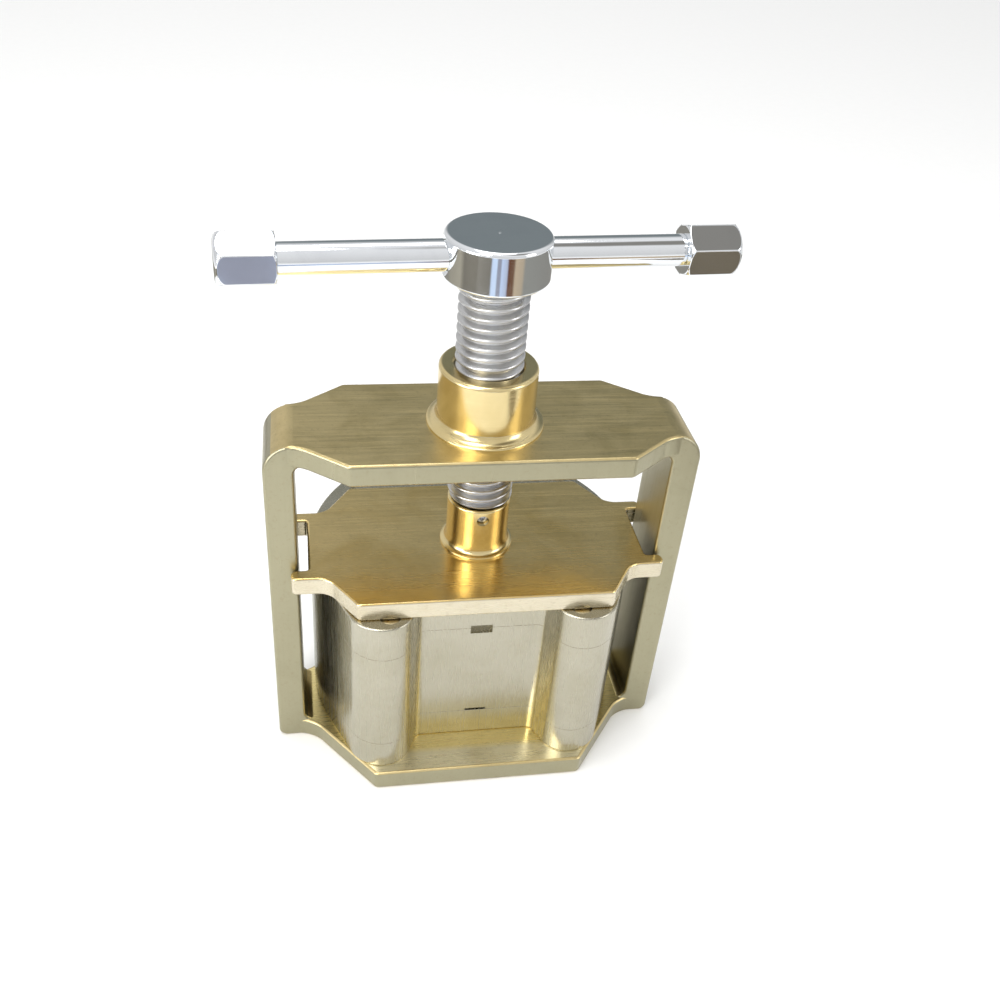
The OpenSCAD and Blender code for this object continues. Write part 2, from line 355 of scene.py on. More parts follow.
def metalFinish(name, look):
    finish = newFinish(name)
    patches = addNoise(finish, (look["patch"],) * 3, 5.0, 0.6, 0.6)
    patchMask = addSpan(finish, patches, 0, *look["patchRange"], 0.0, look["patchAmount"])
    tone = addBlend(finish, patchMask, 0, look["clean"], look["stain"])
    # painted shadow: past a given Y the colour turns a deeper gold, the platen's shadow on the base and its
    # bounce light painted in
    if "platenShadeFrom" in look:
        place = addNode(finish, "ShaderNodeSeparateXYZ")
        wire(finish, addNode(finish, "ShaderNodeTexCoord"), "Object", place, "Vector")
        platenShadeMask = addSpan(finish, place, "Y", *look["platenShadeFrom"], 0.0, 0.8)
        tone = addBlend(finish, platenShadeMask, 0, tone, look["platenShadeTone"])
    specks = addNoise(finish, (look["speck"],) * 3, 3.0, 0.7)
    speckMask = addSpan(finish, specks, 0, 0.56, 0.72, 0.0, look["speckAmount"])
    colour = addBlend(finish, speckMask, 0, tone, look["speckColour"])
    lines = addNoise(finish, look["brush"], 4.0, 0.65)
    rough = addSpan(finish, lines, 0, 0.3, 0.7,
                    look["rough"] - look["roughSwing"], look["rough"] + look["roughSwing"])
    shader = addNode(finish, "ShaderNodeBsdfPrincipled")
    shader.inputs["Metallic"].default_value = 1.0
    wire(finish, colour, 2, shader, "Base Color")
    wire(finish, rough, 0, shader, "Roughness")
    waves = addNoise(finish, (look["wave"],) * 3, 2.0, 0.5)
    bump = addBump(finish, waves, 0, look["waveDepth"])
    bump = addBump(finish, lines, 0, look["brushDepth"], bump)
    bump = addBump(finish, specks, 0, look["speckDepth"], bump)
    wire(finish, bump, "Normal", shader, "Normal")
    output = addNode(finish, "ShaderNodeOutputMaterial")
    wire(finish, shader, "BSDF", output, "Surface")
    return finish


brassLook = {
    "clean": (0.63, 0.51, 0.26), "stain": (0.44, 0.35, 0.16), "speckColour": (0.26, 0.21, 0.12),
    "patch": 55, "patchRange": (0.45, 0.68), "patchAmount": 0.65,
    "speck": 900, "speckAmount": 0.25, "speckDepth": 0.004 * mm,
    "brush": (40, 1600, 1600), "brushDepth": 0.006 * mm,
    "rough": 0.34, "roughSwing": 0.07,
    "wave": 90, "waveDepth": 0.10 * mm,
}
brassFlat = metalFinish("brassFlat", brassLook)
# painted shade: a darker, greyer copy of the frame brass for the upright faces
brassUprightPaintedShade = metalFinish("brassUprightPaintedShade", {**brassLook, "brush": (1600, 1600, 30), "patchAmount": 0.35,
                                            "clean": (0.37, 0.345, 0.235), "stain": (0.31, 0.29, 0.19)})
brassTurned = metalFinish("brassTurned", {
    **brassLook, "clean": (0.72, 0.59, 0.31), "stain": (0.56, 0.43, 0.19), "patchAmount": 0.5,
    "brush": (30, 30, 2600), "brushDepth": 0.005 * mm, "rough": 0.20, "roughSwing": 0.05,
    "speckAmount": 0.1, "speckDepth": 0.001 * mm, "waveDepth": 0.03 * mm})
# painted light and shadow: a brighter copy of the frame brass for the base's top, with the platen's shadow
# painted gold behind its front edge
baseBrassPaintedLightAndShadow = metalFinish("baseBrassPaintedLightAndShadow", {
    **brassLook, "clean": (0.95, 0.88, 0.64), "stain": (0.78, 0.68, 0.42), "rough": 0.30,
    "platenShadeFrom": (-30.0 * mm, -27.5 * mm), "platenShadeTone": (0.99, 0.80, 0.32)})
# painted sheen: a paler, creamier copy of the plate brass for the plate's side faces
plateSidePaintedSheen = metalFinish("plateSidePaintedSheen", {
    **brassLook, "clean": (0.66, 0.60, 0.46), "stain": (0.56, 0.49, 0.34), "rough": 0.28,
    "brush": (40, 1600, 1600)})
plateBrass = metalFinish("plateBrass", {
    **brassLook, "clean": (0.73, 0.56, 0.26), "stain": (0.58, 0.41, 0.14), "patch": 40,
    "rough": 0.24, "brush": (30, 1400, 1400)})
flaskBrass = metalFinish("flaskBrass", {
    **brassLook, "clean": (0.46, 0.435, 0.35), "stain": (0.38, 0.355, 0.26),
    "patch": 45, "patchAmount": 0.5, "brush": (1500, 1500, 50), "brushDepth": 0.0014 * mm,
    "rough": 0.26, "roughSwing": 0.05, "speckAmount": 0.15, "speckDepth": 0.002 * mm,
    "waveDepth": 0.05 * mm})
# the pins' own brass, also laid on the flask's notches as painted light
pinBrassAndNotchLight = metalFinish("pinBrassAndNotchLight", {
    **brassLook, "clean": (0.80, 0.72, 0.50), "stain": (0.6, 0.5, 0.3),
    "brush": (1500, 1500, 300), "rough": 0.3})
turnedSteel = metalFinish("turnedSteel", {
    **brassLook, "clean": (0.56, 0.56, 0.56), "stain": (0.40, 0.40, 0.41), "speckColour": (0.2, 0.2, 0.2),
    "brush": (60, 60, 3000), "brushDepth": 0.006 * mm, "rough": 0.30, "roughSwing": 0.06, "waveDepth": 0.0})
chromePlate = metalFinish("chromePlate", {
    **brassLook, "clean": (0.80, 0.82, 0.84), "stain": (0.72, 0.74, 0.77), "speckColour": (0.5, 0.5, 0.52),
    "patchAmount": 0.5, "speckAmount": 0.05, "speckDepth": 0.0, "brush": (500, 500, 500),
    "brushDepth": 0.0006 * mm, "rough": 0.07, "roughSwing": 0.02, "wave": 60, "waveDepth": 0.10 * mm})
print("finishes mixed")


# Cast frame: two columns and their cross bars in one loop, with an eight-sided plate at each end

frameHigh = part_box("press_frame")[1]
castFrame = {
    "height": 118.5, "columnThick": 8.8, "columnDeep": 23.6,
    "bridgeThick": 7.2, "baseThick": 7.0,
    "topCorner": 9.0, "footCorner": 2.5, "windowCorner": 3.0,
    "bridgeEdge": 82.0, "bridgeDeep": 45.0, "bridgeRoot": 54.8,
    "baseEdge": 68.0, "baseDeep": 75.0, "baseRoot": 54.0,
    "rootFillet": 10.0, "edgeCorner": 2.0, "softEdge": 1.0,
    "bridgeTip": 6.7, "baseTip": 4.5,  # how far each plate's ends stay inside the frame's sides
    "collarRadius": 14.5, "collarFoot": 17.5, "collarRim": 0.8, "flare": 3.2, "rimChamfer": 1.2,
    "footLip": 0.4, "flareEnd": 1.5, "boreRadius": 10.05, "boreChamfer": 0.6,
}


def silhouetteBlock(name, size, halfWidth, halfDeep):
    block = startBlock(name, (-halfWidth, -halfDeep, 0), (halfWidth, halfDeep, size["height"]))
    with editing(block):
        roundEdges(size["topCorner"], lambda e: runs(e, backward) and near(middle(e).z, size["height"]), 12)
        roundEdges(size["footCorner"], lambda e: runs(e, backward) and near(middle(e).z, 0), 6)
    return block


def eightSided(name, bottom, top, edge, deep, root, lobe, tip, fillet, corner):
    plate = startBlock(name, (-edge / 2, -deep / 2, bottom), (edge / 2, deep / 2, top))
    with editing(plate):
        for side in (-1, 1):
            pick("FACE", lambda f: looks(f, across * side))
            bpy.ops.mesh.extrude_region_move(
                TRANSFORM_OT_translate={"value": (side * (root - edge / 2), 0, 0)})
            bpy.ops.transform.resize(value=(1, 2 * lobe / deep, 1), center_override=(0, 0, 0))
            bpy.ops.mesh.extrude_region_move(TRANSFORM_OT_translate={"value": (side * (tip - root), 0, 0)})
        roundEdges(fillet, lambda e: runs(e, upright) and near(abs(middle(e).x), root), 10)
        roundEdges(corner, lambda e: runs(e, upright) and near(abs(middle(e).x), edge / 2), 6)
    return plate


def makeFrame():
    size = sized(castFrame)
    half, height = frameHigh.x, size["height"]
    lobe = size["columnDeep"] / 2
    inner = half - size["columnThick"]
    bridge = height - size["bridgeThick"]
    piece = silhouetteBlock("pressFrame", size, half, lobe)
    window = startBlock("window", (-inner, -2 * lobe, size["baseThick"] - tiny),
                        (inner, 2 * lobe, bridge + tiny))
    with editing(window):
        roundEdges(size["windowCorner"], lambda e: runs(e, backward))
    cut(piece, window)
    with editing(piece):
        bpy.ops.mesh.select_all(action="SELECT")
        bpy.ops.mesh.bisect(plane_co=(0, 0, 0), plane_no=across, clear_inner=True)
    cleanFlats(piece)
    mirror = piece.modifiers.new("otherHalf", "MIRROR")
    mirror.merge_threshold = tiny
    bpy.ops.object.modifier_apply(modifier=mirror.name)
    softenEdges(piece, size["softEdge"])
    for kind, bottom, top in (("bridge", bridge, height), ("base", 0, size["baseThick"])):
        tip = half - size[kind + "Tip"]
        plate = eightSided(kind, bottom, top, size[kind + "Edge"], size[kind + "Deep"], size[kind + "Root"],
                           lobe - tiny, tip + 3 * mm, size["rootFillet"], size["edgeCorner"])
        cleanFlats(plate)
        softenEdges(plate, size["softEdge"])
        keepInside(plate, startBlock("trim", (-tip, -half, bottom - mm), (tip, half, top + mm)))
        keepInside(plate, silhouetteBlock("silhouette", size, half - 3 * tiny, size["baseDeep"]))
        join(piece, plate)
    cleanFlats(piece)
    for finish in (brassFlat, brassUprightPaintedShade, brassTurned, baseBrassPaintedLightAndShadow):
        piece.data.materials.append(finish)
    # painted shade: the upright faces take the darker copy
    layFinish(piece, 1, lambda f: abs(f.normal.z) < 0.7)
    # painted light on the base's top, with the platen's shadow painted in
    layFinish(piece, 3, lambda f: f.normal.z > 0.9 and near(f.calc_center_median().z, size["baseThick"]))
    addCollar(piece, size, bridge)
    return piece


def addCollar(piece, size, bridge):
    top = frameHigh.z
    foot, radius, flare = size["collarFoot"], size["collarRadius"], size["flare"]
    footTop = size["height"] + size["collarRim"]
    lip = size["footLip"]
    profile = [(foot, bridge + 1 * mm), (foot, footTop - lip)]
    profile += quarter(foot - lip, footTop - lip, lip, 0, 90, 3)
    profile += quarter(foot, footTop + flare, flare, 262, 192, 8)
    rim = size["rimChamfer"]
    profile += [(radius, footTop + flare + size["flareEnd"])]
    profile += quarter(radius - rim, top - rim, rim, 0, 90, 6)
    collar = turnOnLathe("collar", profile, 128)
    collar.data.materials.append(brassTurned)
    join(piece, collar)
    bore = turnOnLathe("bore", [
        (size["boreRadius"], bridge - 1 * mm), (size["boreRadius"], top - 0.5 * mm),
        (size["boreRadius"] + size["boreChamfer"], top + 0.1 * mm)], 96)
    bore.data.materials.append(brassTurned)
    cut(piece, bore)


pressFrame = makeFrame()
finishPiece(pressFrame, "frame", "frame_brass", "press_frame")
print("press frame cast")


# Pressure plate: forked at both ends, with the turned socket boss on top

plateLow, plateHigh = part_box("pressure_plate")
pressPlate = {
    "thick": 6.4, "edge": 78.0, "root": 47.5, "lobe": 16.6, "forkGap": 12.15, "forkFloor": 53.2,
    "rootFillet": 6.0, "edgeCorner": 2.0, "floorCorner": 1.0, "prongTip": 1.8, "softEdge": 0.8,
    "bossRadius": 9.75, "bossFoot": 11.5, "footRim": 0.6, "footLip": 0.25, "footHeight": 4.0,
    "bossRim": 0.8, "socketRadius": 6.55, "socketChamfer": 0.5, "socketFloor": 2.5,
    "holeRadius": 1.85, "holeDown": 3.5,
}


def makePlate():
    size = sized(pressPlate)
    bottom, top, bossTop = plateLow.z, plateLow.z + size["thick"], plateHigh.z
    piece = eightSided("pressPlate", bottom, top, size["edge"], plateHigh.y * 2, size["root"], size["lobe"],
                       plateHigh.x, size["rootFillet"], size["edgeCorner"])
    for side in (-1, 1):
        ends = sorted((side * size["forkFloor"], side * (plateHigh.x + 5 * mm)))
        gap = startBlock("gap", (ends[0], -size["forkGap"], bottom - 1 * mm),
                         (ends[1], size["forkGap"], top + 1 * mm))
        with editing(gap):
            roundEdges(size["floorCorner"],
                       lambda e: runs(e, upright) and near(abs(middle(e).x), size["forkFloor"]), 4)
        cut(piece, gap)
    with editing(piece):
        roundEdges(size["prongTip"], lambda e: runs(e, upright) and near(abs(middle(e).x), plateHigh.x), 6)
    cleanFlats(piece)
    softenEdges(piece, size["softEdge"])
    radius, foot, rim = size["bossRadius"], size["bossFoot"], size["bossRim"]
    lip = size["footLip"]
    profile = [(foot, bottom + 1 * mm), (foot, top + size["footRim"] - lip)]
    profile += quarter(foot - lip, top + size["footRim"] - lip, lip, 0, 80, 3)
    flare = foot - radius
    profile += quarter(foot + 0.2 * mm, top + size["footRim"] + flare + 0.3 * mm, flare, 258, 186, 6)
    profile += [(radius, top + size["footHeight"])]
    profile += quarter(radius - rim, bossTop - rim, rim, 0, 90, 6)
    boss = turnOnLathe("boss", profile, 96)
    for finish in (plateBrass, brassTurned, plateSidePaintedSheen):
        piece.data.materials.append(finish)
    # painted sheen on the side faces
    layFinish(piece, 2, lambda f: abs(f.normal.z) < 0.7)
    boss.data.materials.append(brassTurned)
    join(piece, boss)
    socket = turnOnLathe("socket", [(size["socketRadius"], top + size["socketFloor"]),
                                    (size["socketRadius"], bossTop - 0.4 * mm),
                                    (size["socketRadius"] + size["socketChamfer"],
                                     bossTop + 0.1 * mm)], 64)
    socket.data.materials.append(brassTurned)
    cut(piece, socket)
    holeHeight = bossTop - size["holeDown"]
    hole = startRound("hole", size["holeRadius"], (0, 0, holeHeight), (0, -2 * radius, holeHeight), 48)
    hole.data.materials.append(brassTurned)
    cut(piece, hole)
    return piece


pressurePlate = makePlate()
finishPiece(pressurePlate, "plate", "plate_brass", "pressure_plate")
print("pressure plate made")


# Grub screw in the boss, with a hexagonal socket

grubSet = {"tip": 1.2, "tipLong": 1.7, "tipLip": 0.2, "chamfer": 0.3, "key": 1.0, "keyDeep": 1.0}


def makeGrubScrew():
    size = sized(grubSet)
    low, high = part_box("retaining_screw")
    height = (low.z + high.z) / 2
    radius = (high.z - low.z) / 2
    tipRadius, tipLip, bevelled = size["tip"], size["tipLip"], size["chamfer"]
    length = -low.y
    start = -high.y
    shank = start + size["tipLong"]
    profile = [(tipRadius - tipLip, start), (tipRadius, start + tipLip), (tipRadius, shank),
               (radius - bevelled, shank), (radius, shank + bevelled), (radius, length - bevelled),
               (radius - bevelled, length)]
    piece = turnOnLathe("grubScrew", profile, 48)
    keySocket = startRound("keySocket", size["key"], (0, 0, length - size["keyDeep"]),
                           (0, 0, length + 1 * mm), 6)
    cut(piece, keySocket)
    piece.rotation_euler = (math.radians(90), 0, 0)
    piece.location = (0, 0, height)
    onlyThis(piece)
    bpy.ops.object.transform_apply(location=True, rotation=True, scale=True)
    return piece


grubScrew = makeGrubScrew()
finishPiece(grubScrew, "plate", "steel", "retaining_screw", turnedSteel)
print("grub screw made")


# Spindle: a right-hand thread between the plate's socket and the head

spindleLow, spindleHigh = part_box("spindle")
headLow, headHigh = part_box("spindle_head")
barLow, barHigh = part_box("tommy_bar")
barHeight = (barLow.z + barHigh.z) / 2
spindleSet = {
    "pitch": 3.0, "depth": 1.6, "crestRound": 0.35, "journal": 6.5, "groove": 5.1, "grooveWide": 3.0,
    "grooveDown": 3.5, "shoulderUp": 0.3, "neck": 8.0, "runout": 1.2, "barGap": 0.05, "steps": 72,
}


def handleTurn():
    slide = next(joint for joint in frame["joints"] if joint["name"] == "bar_slide")
    return math.atan2(slide["axis"][1], slide["axis"][0])


def placeOnHandle(piece, offset=0.0, roll=0.0):
    # a piece turned along +Z goes to lie along the handle's bar
    onlyThis(piece)
    piece.rotation_euler = (roll, 0, 0)
    piece.rotation_mode = "QUATERNION"
    lay = Quaternion(backward, math.radians(90))
    swing = Quaternion(upright, handleTurn())
    spin = Quaternion(across, roll)
    piece.rotation_quaternion = swing @ spin @ lay
    piece.location = swing @ Vector((offset, 0, 0)) + Vector((0, 0, barHeight))
    bpy.ops.object.transform_apply(location=True, rotation=True, scale=True)


def makeSpindle():
    size = sized(spindleSet)
    crest, pitch = spindleHigh.x, size["pitch"]
    root = crest - size["depth"]
    shoulder = plateHigh.z + size["shoulderUp"]
    bend, flank = size["crestRound"], 0.35 * pitch
    start = shoulder - pitch
    outline = [(root, 0, 0), (root, 0, 0.08 * pitch), (crest - bend, 0, flank - bend * 0.3),
               (crest, 0, flank + bend * 0.6), (crest, 0, pitch - flank - bend * 0.6),
               (crest - bend, 0, pitch - flank + bend * 0.3), (root, 0, 0.92 * pitch), (root, 0, pitch)]
    piece = startChain("threadedSpindle", [Vector((x, y, z + start)) for x, y, z in outline])
    onlyThis(piece)
    turns = piece.modifiers.new("thread", "SCREW")
    turns.axis = "Z"
    turns.angle = math.radians(360)
    turns.screw_offset = pitch
    turns.iterations = int((headLow.z - start) / pitch) + 3
    turns.steps = turns.render_steps = size["steps"]
    turns.use_merge_vertices = True
    turns.merge_threshold = 0.001 * mm
    bpy.ops.object.modifier_apply(modifier=turns.name)
    with editing(piece):
        bpy.ops.mesh.select_all(action="SELECT")
        bpy.ops.mesh.remove_doubles(threshold=0.003 * mm)
        for height, clearOuter in ((shoulder - 0.2 * mm, False), (headLow.z + 0.5 * mm, True)):
            bpy.ops.mesh.select_all(action="SELECT")
            bpy.ops.mesh.bisect(plane_co=(0, 0, height), plane_no=upright, use_fill=True,
                                clear_inner=not clearOuter, clear_outer=clearOuter)
        bpy.ops.mesh.select_all(action="SELECT")
        bpy.ops.mesh.normals_make_consistent(inside=False)
    runout = size["runout"]
    keepInside(piece, turnOnLathe("envelope", [
        (root - 0.2 * mm, shoulder), (crest + 0.1 * mm, shoulder + runout),
        (crest + 0.1 * mm, headLow.z + 0.3 * mm)], 96))
    grooveTop = plateHigh.z - size["grooveDown"] + size["grooveWide"] / 2
    grooveBottom = grooveTop - size["grooveWide"]
    journal = size["journal"]
    join(piece, turnOnLathe("journal", [
        (journal - 1 * mm, spindleLow.z), (journal, spindleLow.z + 1 * mm), (journal, grooveBottom),
        (size["groove"], grooveBottom), (size["groove"], grooveTop), (journal, grooveTop),
        (journal, shoulder + 2 * mm)], 72))
    join(piece, turnOnLathe("neck", [
        (size["neck"], headLow.z - 3 * mm), (size["neck"], spindleHigh.z)], 72))
    hole = startRound("hole", (barHigh.z - barLow.z) / 2 + size["barGap"],
                      (0, 0, -2 * crest), (0, 0, 2 * crest), 72)
    placeOnHandle(hole)
    cut(piece, hole)
    return piece


threadedSpindle = makeSpindle()
finishPiece(threadedSpindle, "screw", "steel", "spindle", turnedSteel, smoothAngle=50)
print("spindle threaded")


# Round head, bar and hexagonal caps

handleSet = {
    "headRound": 1.3, "headFoot": 0.8, "dimple": 1.4, "dimpleDeep": 0.6, "barGap": 0.05, "barLip": 0.4,
    "barChamfer": 0.3, "stub": 3.0, "stubLong": 9.0, "stubHole": 10.5,
    "capFlats": 13.5, "capLong": 15.5, "capDome": 3.0, "capLip": 0.9, "capSoft": 0.45, "capEdge": 0.25,
    "rightRoll": 10,
}


def makeHead():
    size = sized(handleSet)
    radius = headHigh.x
    top, foot = size["headRound"], size["headFoot"]
    profile = quarter(radius - foot, headLow.z + foot, foot, -90, 0, 5)
    profile += quarter(radius - top, headHigh.z - top, top, 0, 90, 8)
    profile += [(size["dimple"], headHigh.z), (0.2 * mm, headHigh.z - size["dimpleDeep"])]
    piece = turnOnLathe("roundHead", profile, 128)
    neck = turnOnLathe("neckHole", [(spindleSet["neck"] * mm + 0.01 * mm, headLow.z - 1 * mm),
                                    (spindleSet["neck"] * mm + 0.01 * mm, spindleHigh.z)], 72)
    cut(piece, neck)
    bore = (barHigh.z - barLow.z) / 2 + size["barGap"]
    lip = size["barLip"]
    reach = math.sqrt(radius ** 2 - bore ** 2)
    hole = turnOnLathe("barHole", [
        (bore + lip + 2 * mm, -reach - 2 * mm), (bore, -reach + lip), (bore, reach - lip),
        (bore + lip + 2 * mm, reach + 2 * mm)], 96)
    placeOnHandle(hole)
    cut(piece, hole)
    return piece


def makeBar():
    size = sized(handleSet)
    radius = (barHigh.z - barLow.z) / 2
    half = handleLength() / 2 - size["capLong"]
    stub, lip = size["stub"], size["barChamfer"]
    end = half + size["stubLong"]
    profile = [(stub - lip, -end), (stub, -end + lip), (stub, -half), (radius - lip, -half),
               (radius, -half + lip), (radius, half - lip), (radius - lip, half), (stub, half),
               (stub, end - lip), (stub - lip, end)]
    piece = turnOnLathe("slidingBar", profile, 96)
    placeOnHandle(piece, handleOffset())
    return piece


def handleEnds():
    swing = Quaternion(upright, -handleTurn())
    ends = []
    for node in ("bar_cap_left", "bar_cap_right"):
        points = [swing @ vertex.co for vertex in frame["nodes"][node].data.vertices]
        ends.append((min(p.x for p in points), max(p.x for p in points)))
    return ends


def handleLength():
    left, right = handleEnds()
    return right[1] - left[0]


def handleOffset():
    left, right = handleEnds()
    return (right[1] + left[0]) / 2


def makeCap(name):
    # along +Z from its inner face, an edge of the hexagon up
    size = sized(handleSet)
    corner = size["capFlats"] / 2 / math.cos(math.radians(30))
    long, dome, lip = size["capLong"], size["capDome"], size["capLip"]
    bpy.ops.object.select_all(action="DESELECT")
    bpy.ops.mesh.primitive_cylinder_add(vertices=6, radius=corner, depth=long, location=(0, 0, long / 2),
                                        rotation=(0, 0, math.radians(90)))
    bpy.ops.object.transform_apply(location=True, rotation=True, scale=True)
    piece = bpy.context.object
    piece.name = name
    with editing(piece):
        roundEdges(size["capSoft"], lambda e: runs(e, upright), 3)
    profile = [(corner - lip, 0), (corner + 0.01 * mm, lip * 0.8)]
    profile += quarter(corner - dome + 0.01 * mm, long - dome, dome, 0, 88, 10)
    keepInside(piece, turnOnLathe("blank", profile, 96))
    cleanFlats(piece)
    softenEdges(piece, size["capEdge"], 2, 25)
    cut(piece, startRound("hole", size["stub"] + size["barGap"], (0, 0, -1 * mm),
                          (0, 0, size["stubHole"]), 48))
    return piece


roundHead = makeHead()
finishPiece(roundHead, "screw", "chrome", "spindle_head", chromePlate)
slidingBar = makeBar()
finishPiece(slidingBar, "handle", "chrome", "tommy_bar", chromePlate)
rightCap = makeCap("rightCap")
leftCap = twin(rightCap, "leftCap")
with editing(leftCap):
    bpy.ops.mesh.select_all(action="SELECT")
    bpy.ops.transform.resize(value=(1, 1, -1), center_override=(0, 0, 0))
    bpy.ops.mesh.normals_make_consistent(inside=False)
placeOnHandle(rightCap, handleEnds()[1][0], math.radians(handleSet["rightRoll"]))
placeOnHandle(leftCap, handleEnds()[0][1])
finishPiece(rightCap, "handle", "chrome", "bar_cap_right", chromePlate, smoothAngle=30)
finishPiece(leftCap, "handle", "chrome", "bar_cap_left", chromePlate, smoothAngle=30)
print("head, bar and caps made")


# Flask: two covers and a deep ring of one outline, on two guide pins

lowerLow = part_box("flask_lower")[0]
ringLow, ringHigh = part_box("flask_ring")
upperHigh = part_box("flask_upper")[1]
flaskSet = {
    "backCentre": 9.0, "front": 34.0, "recess": 22.0, "lobeIn": 25.0, "lobeOut": 38.5, "recessHalf": 19.5,
    "lobeInRound": 9.0, "lobeOutRound": 10.5, "recessRound": 3.0, "wall": 7.5, "spigot": 2.0,
    "pinX": 29.5, "pinY": -28.0, "pinHole": 3.35, "pinChamfer": 0.9, "pinLip": 0.15,
    "ventX": 37.7, "ventY": 17.0, "vent": 3.0, "countersink": 5.9, "ear": 9.5,
    "panelDeep": 1.0, "panelRim": 4.5, "panelFront": 17.0, "panelRound": 1.5,
    "notchWide": 7.0, "notchDeep": 2.0, "notchLow": 0.9, "notchTop": 2.2, "notchUpper": 1.1,
    "jointEdge": 0.15, "outerEdge": 0.6,
}


def flaskBlank(name, bottom, top):
    size = sized(flaskSet)
    radius, centre = ringHigh.x, size["backCentre"]
    corner = Vector((size["lobeOut"], -size["front"] - centre, 0))
    touch = math.atan2(corner.y, corner.x) + math.acos(radius / corner.length)
    start = Vector((radius * math.cos(touch), centre + radius * math.sin(touch), bottom))
    piece = startChain(name, [start])
    front = [(-size["lobeOut"], -size["front"]), (-size["lobeIn"], -size["front"]),
             (-size["recessHalf"], -size["recess"]), (size["recessHalf"], -size["recess"]),
             (size["lobeIn"], -size["front"]), (size["lobeOut"], -size["front"])]
    with editing(piece):
        bpy.ops.mesh.select_mode(type="VERT")
        bpy.ops.mesh.select_all(action="SELECT")
        bpy.ops.mesh.spin(steps=96, dupli=False, angle=-(math.pi - 2 * touch), center=(0, centre, bottom),
                          axis=upright)
        corners = [Vector((x, y, bottom)) for x, y in front]
        drawOn([Vector((-start.x, start.y, bottom)), *corners, start])
        bpy.ops.mesh.select_all(action="SELECT")
        bpy.ops.mesh.remove_doubles(threshold=0.005 * mm)
        bpy.ops.mesh.edge_face_add()
        bpy.ops.mesh.extrude_region_move(TRANSFORM_OT_translate={"value": (0, 0, top - bottom)})
        bpy.ops.mesh.select_all(action="SELECT")
        bpy.ops.mesh.normals_make_consistent(inside=False)
        for x, y, bend, segments in ((size["lobeOut"], -size["front"], size["lobeOutRound"], 12),
                                     (size["lobeIn"], -size["front"], size["lobeInRound"], 12),
                                     (size["recessHalf"], -size["recess"], size["recessRound"], 6)):
            roundEdges(bend, lambda e: runs(e, upright)
                       and near(abs(middle(e).x), x) and near(middle(e).y, y), segments)
    return piece


def cavityBlock(name, bottom, top, gap):
    size = sized(flaskSet)
    centre = size["backCentre"]
    block = startRound(name, ringHigh.x - size["wall"] - gap, (0, centre, bottom), (0, centre, top), 96)
    reach = 2 * ringHigh.x
    front = -size["recess"] + size["wall"] + gap
    cut(block, startBlock("front", (-reach, -reach, bottom - 1 * mm), (reach, front, top + 1 * mm)))
    return block


def panelCutter(face, inwards):
    # the sunk panel of a cover's outer face, with an ear left round each vent
    size = sized(flaskSet)
    centre = size["backCentre"]
    ends = sorted((face - inwards * size["panelDeep"], face + inwards * size["panelDeep"]))
    block = startRound("panel", ringHigh.x - size["panelRim"],
                       (0, centre, ends[0]), (0, centre, ends[1]), 96)
    reach = 2 * ringHigh.x
    cut(block, startBlock("front", (-reach, -reach, ends[0] - 1 * mm),
                          (reach, -size["panelFront"], ends[1] + 1 * mm)))
    for side in (-1, 1):
        x = side * size["ventX"]
        low, high = ends[0] - 1 * mm, ends[1] + 1 * mm
        cut(block, startRound("ear", size["ear"], (x, size["ventY"], low), (x, size["ventY"], high), 48))
        sides = sorted((x, x + side * 2 * size["ear"]))
        cut(block, startBlock("ear", (sides[0], size["ventY"] - size["ear"], low),
                              (sides[1], size["ventY"] + size["ear"], high)))
    cleanFlats(block, 0.5)
    with editing(block):
        roundEdges(size["panelRound"],
                   lambda e: runs(e, upright) and e.calc_face_angle(0) > math.radians(40), 4)
    return block


def notchTool(low, high):
    size = sized(flaskSet)
    half, face = size["notchWide"] / 2, -size["recess"]
    notch = startBlock("notch", (-half, face - 1 * mm, low), (half, face + size["notchDeep"], high))
    # painted light: the notch's cut faces take the brighter pin brass
    notch.data.materials.append(pinBrassAndNotchLight)
    return notch


def bevelRim(height, width, segments):
    pick("EDGE", lambda e: all(near(v.co.z, height) for v in e.verts))
    bpy.ops.mesh.bevel(offset=width, segments=segments, profile=0.5, affect="EDGES")


def makeCover(name, face, joint):
    # face: the height of its outer face; joint: where it meets the ring
    size = sized(flaskSet)
    inwards = 1 if joint > face else -1
    low, high = sorted((face, joint))
    piece = flaskBlank(name, low, high)
    with editing(piece):
        bevelRim(face, size["outerEdge"], 4)
        bevelRim(joint, size["jointEdge"], 2)
    piece.data.materials.append(flaskBrass)
    cut(piece, panelCutter(face, inwards))
    spigotEnds = sorted((face + inwards * 2 * mm, joint + inwards * size["spigot"]))
    join(piece, cavityBlock("spigot", *spigotEnds, 0.1 * mm))
    for side in (-1, 1):
        sink = size["countersink"]
        drill = turnOnLathe("drill", [(sink + 0.5 * mm, -0.5 * mm), (size["vent"], sink - size["vent"]),
                                      (size["vent"], high - low + 5 * mm)], 48)
        drill.location = (side * size["ventX"], size["ventY"], face)
        drill.rotation_euler = (0 if inwards > 0 else math.pi, 0, 0)
        cut(piece, drill)
        cutPinHole(piece, side, low, high)
    return piece


def cutPinHole(piece, side, low, high):
    size = sized(flaskSet)
    x, y = side * size["pinX"], size["pinY"]
    cut(piece, startRound("pinHole", size["pinHole"], (x, y, low - 1 * mm), (x, y, high + 1 * mm), 48))


